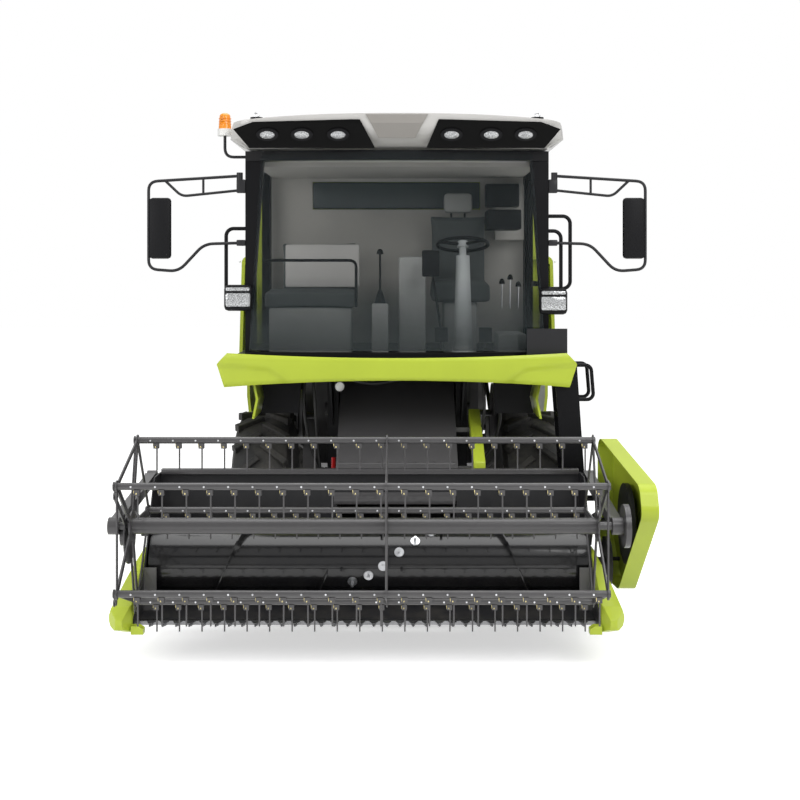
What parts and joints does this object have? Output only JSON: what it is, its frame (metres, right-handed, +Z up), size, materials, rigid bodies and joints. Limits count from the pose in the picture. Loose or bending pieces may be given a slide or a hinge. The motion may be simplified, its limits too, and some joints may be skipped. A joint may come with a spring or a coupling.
{
  "type": "combine harvester",
  "caption": "Small self-propelled grain combine with a glazed cab, a reel header on a lifting feeder house, a grain tank and a swinging unloading tube.",
  "frame": {"origin": "on the ground below the middle of the overall bounding box, header in its parked height and wheels straight", "axes": "+X to the machine's left side, +Y to the rear, +Z up; the header faces -Y"},
  "size_m": [3.32, 6.1203, 3.3449],
  "materials": {
    "lime_paint": "gloss",
    "black_steel": "satin",
    "dark_steel": "satin",
    "gloss_black": "gloss",
    "knife_steel": "satin",
    "chrome_rod": "gloss",
    "roof_grey": "gloss",
    "visor_black": "gloss",
    "black_plastic": "matte",
    "interior_grey": "matte",
    "seat_fabric": "matte",
    "lamp_plastic": "gloss",
    "glass": "gloss",
    "tyre": "matte",
    "rim_grey": "satin"
  },
  "bodies": {
    "chassis": {"chassis_frame": "black_steel", "front_axle": "black_steel", "rear_axle": "black_steel", "thresher_body": "dark_steel", "belt_drives": "dark_steel", "grain_tank": "lime_paint", "side_bodies": "lime_paint", "engine_hood": "lime_paint", "engine": "dark_steel", "straw_hood": "lime_paint", "fuel_tank": "black_plastic", "cab_platform": "black_steel", "ladder_and_rails": "black_steel", "bumper": "lime_paint", "cab_frame": "black_steel", "cab_lining": "interior_grey", "cab_roof": "roof_grey", "roof_visor": "visor_black", "cab_glass": "glass", "cab_seats": "seat_fabric", "cab_controls": "interior_grey", "lamps": "lamp_plastic", "unloader_riser": "lime_paint", "mirrors": "black_steel"},
    "door": {"cab_door": "black_steel", "door_glass": "glass"},
    "shield_left": {"side_shield_left": "lime_paint"},
    "shield_right": {"side_shield_right": "lime_paint"},
    "unloader": {"unloader_tube": "lime_paint"},
    "feeder": {"feeder_house": "dark_steel", "header_table": "black_steel", "header_dividers": "lime_paint", "cutter_bar": "knife_steel", "header_drive_shield": "lime_paint", "header_drive": "black_steel"},
    "auger": {"header_auger": "gloss_black"},
    "arms": {"reel_arms": "dark_steel"},
    "reel": {"reel_spider": "dark_steel"},
    "ring": {"reel_ring": "dark_steel"},
    "feeder_barrels": {"lift_barrels": "black_steel"},
    "feeder_rods": {"lift_rods": "chrome_rod"},
    "arm_barrels": {"reel_lift_barrels": "black_steel"},
    "arm_rods": {"reel_lift_rods": "chrome_rod"},
    "knuckle_l": {"knuckle_left": "black_steel"},
    "knuckle_r": {"knuckle_right": "black_steel"},
    "steer_rod": {"tie_rod": "black_steel"},
    "tines_1": {"tine_bar_1": "dark_steel"},
    "tines_2": {"tine_bar_2": "dark_steel"},
    "tines_3": {"tine_bar_3": "dark_steel"},
    "tines_4": {"tine_bar_4": "dark_steel"},
    "tines_5": {"tine_bar_5": "dark_steel"},
    "wheel_front_left": {"tyre_front_left": "tyre", "rim_front_left": "rim_grey"},
    "wheel_front_right": {"tyre_front_right": "tyre", "rim_front_right": "rim_grey"},
    "wheel_rear_left": {"tyre_rear_left": "tyre", "rim_rear_left": "rim_grey"},
    "wheel_rear_right": {"tyre_rear_right": "tyre", "rim_rear_right": "rim_grey"}
  },
  "joints": [
    {"name": "feeder_lift", "type": "hinge", "parent": "chassis", "child": "feeder", "pos_m": [0, -0.44, 1.29], "axis": [-1, 0, 0], "range_deg": [-6, 12]},
    {"name": "lift_barrel_tilt", "type": "hinge", "parent": "chassis", "child": "feeder_barrels", "pos_m": [0, -0.56, 0.505], "axis": [-1, 0, 0], "range_deg": [-8, 15.5]},
    {"name": "lift_rod_slide", "type": "slide", "parent": "feeder_barrels", "child": "feeder_rods", "axis": [0, -0.9901, -0.1405], "range_m": [-0.082, 0.165]},
    {"name": "reel_lift", "type": "hinge", "parent": "feeder", "child": "arms", "pos_m": [0, -1.515, 0.968], "axis": [-1, 0, 0], "range_deg": [-1.5, 18]},
    {"name": "reel_barrel_tilt", "type": "hinge", "parent": "feeder", "child": "arm_barrels", "pos_m": [0, -1.64, 0.64], "axis": [-1, 0, 0], "range_deg": [-1.5, 15.5]},
    {"name": "reel_rod_slide", "type": "slide", "parent": "arm_barrels", "child": "arm_rods", "axis": [0, -0.8927, 0.4506], "range_m": [-0.01, 0.11]},
    {"name": "reel_spin", "type": "hinge", "parent": "arms", "child": "reel", "pos_m": [0, -2.62, 0.864], "axis": [1, 0, 0], "continuous": true},
    {"name": "ring_spin", "type": "hinge", "parent": "arms", "child": "ring", "pos_m": [-1.496, -2.565, 0.804], "axis": [1, 0, 0], "continuous": true},
    {"name": "tine_bar_1_turn", "type": "hinge", "parent": "reel", "child": "tines_1", "pos_m": [0, -3.00833, 0.58186], "axis": [1, 0, 0], "continuous": true},
    {"name": "tine_bar_2_turn", "type": "hinge", "parent": "reel", "child": "tines_2", "pos_m": [0, -3.00833, 1.14614], "axis": [1, 0, 0], "continuous": true},
    {"name": "tine_bar_3_turn", "type": "hinge", "parent": "reel", "child": "tines_3", "pos_m": [0, -2.47167, 1.32051], "axis": [1, 0, 0], "continuous": true},
    {"name": "tine_bar_4_turn", "type": "hinge", "parent": "reel", "child": "tines_4", "pos_m": [0, -2.14, 0.864], "axis": [1, 0, 0], "continuous": true},
    {"name": "tine_bar_5_turn", "type": "hinge", "parent": "reel", "child": "tines_5", "pos_m": [0, -2.47167, 0.40749], "axis": [1, 0, 0], "continuous": true},
    {"name": "auger_spin", "type": "hinge", "parent": "feeder", "child": "auger", "pos_m": [0, -1.85, 0.5], "axis": [1, 0, 0], "continuous": true},
    {"name": "front_left_spin", "type": "hinge", "parent": "chassis", "child": "wheel_front_left", "pos_m": [0.945, -0.42, 0.635], "axis": [1, 0, 0], "continuous": true},
    {"name": "front_right_spin", "type": "hinge", "parent": "chassis", "child": "wheel_front_right", "pos_m": [-0.945, -0.42, 0.635], "axis": [1, 0, 0], "continuous": true},
    {"name": "steer_left", "type": "hinge", "parent": "chassis", "child": "knuckle_l", "pos_m": [0.65, 2.13, 0.43], "axis": [0, 0, 1], "range_deg": [-30, 30]},
    {"name": "steer_right", "type": "hinge", "parent": "chassis", "child": "knuckle_r", "pos_m": [-0.65, 2.13, 0.43], "axis": [0, 0, 1], "range_deg": [-31, 31]},
    {"name": "tie_rod_slide", "type": "slide", "parent": "chassis", "child": "steer_rod", "axis": [1, 0, 0], "range_m": [-0.11, 0.11]},
    {"name": "rear_left_spin", "type": "hinge", "parent": "knuckle_l", "child": "wheel_rear_left", "pos_m": [0.86, 2.13, 0.4], "axis": [1, 0, 0], "continuous": true},
    {"name": "rear_right_spin", "type": "hinge", "parent": "knuckle_r", "child": "wheel_rear_right", "pos_m": [-0.86, 2.13, 0.4], "axis": [1, 0, 0], "continuous": true},
    {"name": "door_swing", "type": "hinge", "parent": "chassis", "child": "door", "pos_m": [1.01, -0.14, 2.38], "axis": [0, 0, 1], "range_deg": [0, 80]},
    {"name": "unloader_swing", "type": "hinge", "parent": "chassis", "child": "unloader", "pos_m": [0.985, 0.3, 2.6], "axis": [0, 0, -1], "range_deg": [0, 100]},
    {"name": "shield_left_lift", "type": "hinge", "parent": "chassis", "child": "shield_left", "pos_m": [1.161, 1.415, 1.495], "axis": [0, -1, 0], "range_deg": [0, 65]},
    {"name": "shield_right_lift", "type": "hinge", "parent": "chassis", "child": "shield_right", "pos_m": [-1.161, 1.415, 1.495], "axis": [0, 1, 0], "range_deg": [0, 65]}
  ],
  "couplings": [
    {"joint": "lift_barrel_tilt", "follows": "feeder_lift", "ratio": 1.22},
    {"joint": "lift_rod_slide", "follows": "feeder_lift", "m_per_rad": 0.765},
    {"joint": "reel_barrel_tilt", "follows": "reel_lift", "ratio": 0.845},
    {"joint": "reel_rod_slide", "follows": "reel_lift", "m_per_rad": 0.341},
    {"joint": "ring_spin", "follows": "reel_spin", "ratio": 1},
    {"joint": "tine_bar_1_turn", "follows": "reel_spin", "ratio": -1},
    {"joint": "tine_bar_2_turn", "follows": "reel_spin", "ratio": -1},
    {"joint": "tine_bar_3_turn", "follows": "reel_spin", "ratio": -1},
    {"joint": "tine_bar_4_turn", "follows": "reel_spin", "ratio": -1},
    {"joint": "tine_bar_5_turn", "follows": "reel_spin", "ratio": -1},
    {"joint": "steer_right", "follows": "steer_left", "ratio": 1},
    {"joint": "tie_rod_slide", "follows": "steer_left", "m_per_rad": -0.2}
  ]
}
